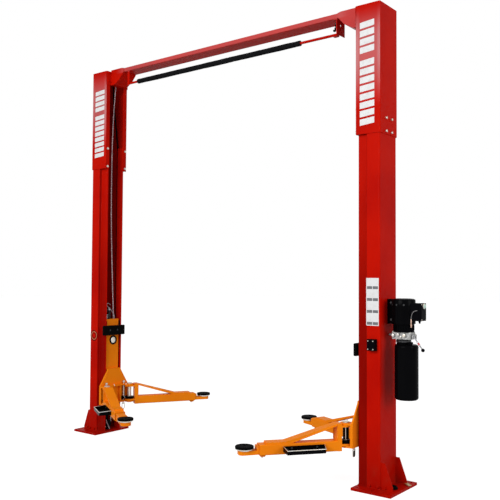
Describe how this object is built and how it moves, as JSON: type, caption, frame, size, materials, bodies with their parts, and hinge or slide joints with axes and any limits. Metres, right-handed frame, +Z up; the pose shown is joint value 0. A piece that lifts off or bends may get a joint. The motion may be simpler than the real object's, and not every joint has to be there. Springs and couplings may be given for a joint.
{
  "type": "two post car lift",
  "caption": "Clear floor car lift: columns with extensions and crossbeam, sliding carriages with swinging telescopic arms, hydraulic power unit and padded shut-off bar.",
  "frame": {"origin": "floor level midway between the two columns", "axes": "+X from the left column to the right column, +Y to the back, +Z up"},
  "size_m": [3.755, 1.7488, 3.715],
  "materials": {
    "red_paint": "glossy powder coat",
    "orange_paint": "glossy powder coat",
    "zinc_steel": "zinc plated",
    "black_rubber": "moulded rubber",
    "black_plastic": "moulded plastic",
    "black_paint": "satin black",
    "foam": "closed cell foam",
    "chrome": "hard chrome",
    "cast_aluminium": "as cast, machined faces",
    "wire_rope": "oiled strand"
  },
  "bodies": {
    "frame": {"left_base_plate": "red_paint", "right_base_plate": "red_paint", "left_column": "red_paint", "right_column": "red_paint", "left_extension": "red_paint", "right_extension": "red_paint", "beam_brackets": "red_paint", "crossbeam": "red_paint", "bar_hanger": "red_paint", "switch_bracket": "red_paint", "splice_bolts": "zinc_steel", "top_sheaves": "zinc_steel", "oil_hose": "black_rubber", "lock_covers": "black_plastic", "control_box": "black_plastic", "limit_switch": "black_plastic", "base_sheaves": "black_paint", "motor": "black_paint", "reservoir": "black_paint", "power_unit_bracket": "black_paint", "cylinders": "black_paint", "manifold": "cast_aluminium", "ropes_across": "wire_rope", "rope_tops": "wire_rope", "rope_tails": "wire_rope", "chain_runs": "wire_rope"},
    "left_lift": {"left_carriage": "orange_paint", "left_slide_blocks": "black_plastic", "left_bumper": "black_rubber", "left_arm_pins": "zinc_steel"},
    "left_ram": {"left_cylinder_rod": "chrome"},
    "right_lift": {"right_carriage": "orange_paint", "right_slide_blocks": "black_plastic", "right_bumper": "black_rubber", "right_arm_pins": "zinc_steel"},
    "right_ram": {"right_cylinder_rod": "chrome"},
    "left_rear_outer": {"left_rear_arm": "orange_paint", "left_rear_gear": "black_paint", "left_rear_tray": "black_paint"},
    "left_rear_inner": {"left_rear_slider": "orange_paint", "left_rear_pad": "black_rubber"},
    "left_front_outer": {"left_front_arm": "orange_paint", "left_front_gear": "black_paint", "left_front_tray": "black_paint"},
    "left_front_inner": {"left_front_slider": "orange_paint", "left_front_pad": "black_rubber"},
    "right_front_outer": {"right_front_arm": "orange_paint", "right_front_gear": "black_paint", "right_front_tray": "black_paint"},
    "right_front_inner": {"right_front_slider": "orange_paint", "right_front_pad": "black_rubber"},
    "right_rear_outer": {"right_rear_arm": "orange_paint", "right_rear_gear": "black_paint", "right_rear_tray": "black_paint"},
    "right_rear_inner": {"right_rear_slider": "orange_paint", "right_rear_pad": "black_rubber"},
    "bar": {"shut_off_bar": "red_paint", "bar_padding": "foam"},
    "lever": {"release_lever": "chrome"}
  },
  "joints": [
    {"name": "left_carriage_lift", "type": "slide", "parent": "frame", "child": "left_lift", "axis": [0, 0, 1], "range_m": [-0.19, 1.55], "deforming": ["rope_tops", "rope_tails", "chain_runs"]},
    {"name": "right_carriage_lift", "type": "slide", "parent": "frame", "child": "right_lift", "axis": [0, 0, 1], "range_m": [-0.19, 1.55]},
    {"name": "left_ram_lift", "type": "slide", "parent": "frame", "child": "left_ram", "axis": [0, 0, 1], "range_m": [-0.095, 0.775]},
    {"name": "right_ram_lift", "type": "slide", "parent": "frame", "child": "right_ram", "axis": [0, 0, 1], "range_m": [-0.095, 0.775]},
    {"name": "left_rear_swing", "type": "hinge", "parent": "left_lift", "child": "left_rear_outer", "pos_m": [-1.375, 0.15, 0.39], "axis": [0, 0, 1], "range_deg": [-58, 32]},
    {"name": "left_rear_reach", "type": "slide", "parent": "left_rear_outer", "child": "left_rear_inner", "axis": [0.5299, 0.848, 0], "range_m": [0, 0.45]},
    {"name": "left_front_swing", "type": "hinge", "parent": "left_lift", "child": "left_front_outer", "pos_m": [-1.375, -0.15, 0.39], "axis": [0, 0, -1], "range_deg": [-31, 59]},
    {"name": "left_front_reach", "type": "slide", "parent": "left_front_outer", "child": "left_front_inner", "axis": [0.8572, -0.515, 0], "range_m": [-0.145, 0.305]},
    {"name": "right_front_swing", "type": "hinge", "parent": "right_lift", "child": "right_front_outer", "pos_m": [1.375, -0.15, 0.39], "axis": [0, 0, 1], "range_deg": [-52, 38]},
    {"name": "right_front_reach", "type": "slide", "parent": "right_front_outer", "child": "right_front_inner", "axis": [-0.6157, -0.788, 0], "range_m": [0, 0.45]},
    {"name": "right_rear_swing", "type": "hinge", "parent": "right_lift", "child": "right_rear_outer", "pos_m": [1.375, 0.15, 0.39], "axis": [0, 0, -1], "range_deg": [-23.5, 66.5]},
    {"name": "right_rear_reach", "type": "slide", "parent": "right_rear_outer", "child": "right_rear_inner", "axis": [-0.9171, 0.3987, 0], "range_m": [-0.01, 0.44]},
    {"name": "shut_off_bar_tilt", "type": "hinge", "parent": "frame", "child": "bar", "pos_m": [-1.197, -0.056, 3.546], "axis": [0, -1, 0], "range_deg": [0, 0.4]},
    {"name": "release_lever_pull", "type": "hinge", "parent": "frame", "child": "lever", "pos_m": [1.879, -0.03, 1.16], "axis": [0, -1, 0], "range_deg": [0, 20], "stiffness_Nm_per_rad": 0.6, "springref_deg": -34.38}
  ],
  "couplings": [
    {"joint": "right_carriage_lift", "follows": "left_carriage_lift", "ratio": 1},
    {"joint": "left_ram_lift", "follows": "left_carriage_lift", "ratio": 0.5},
    {"joint": "right_ram_lift", "follows": "left_carriage_lift", "ratio": 0.5}
  ]
}
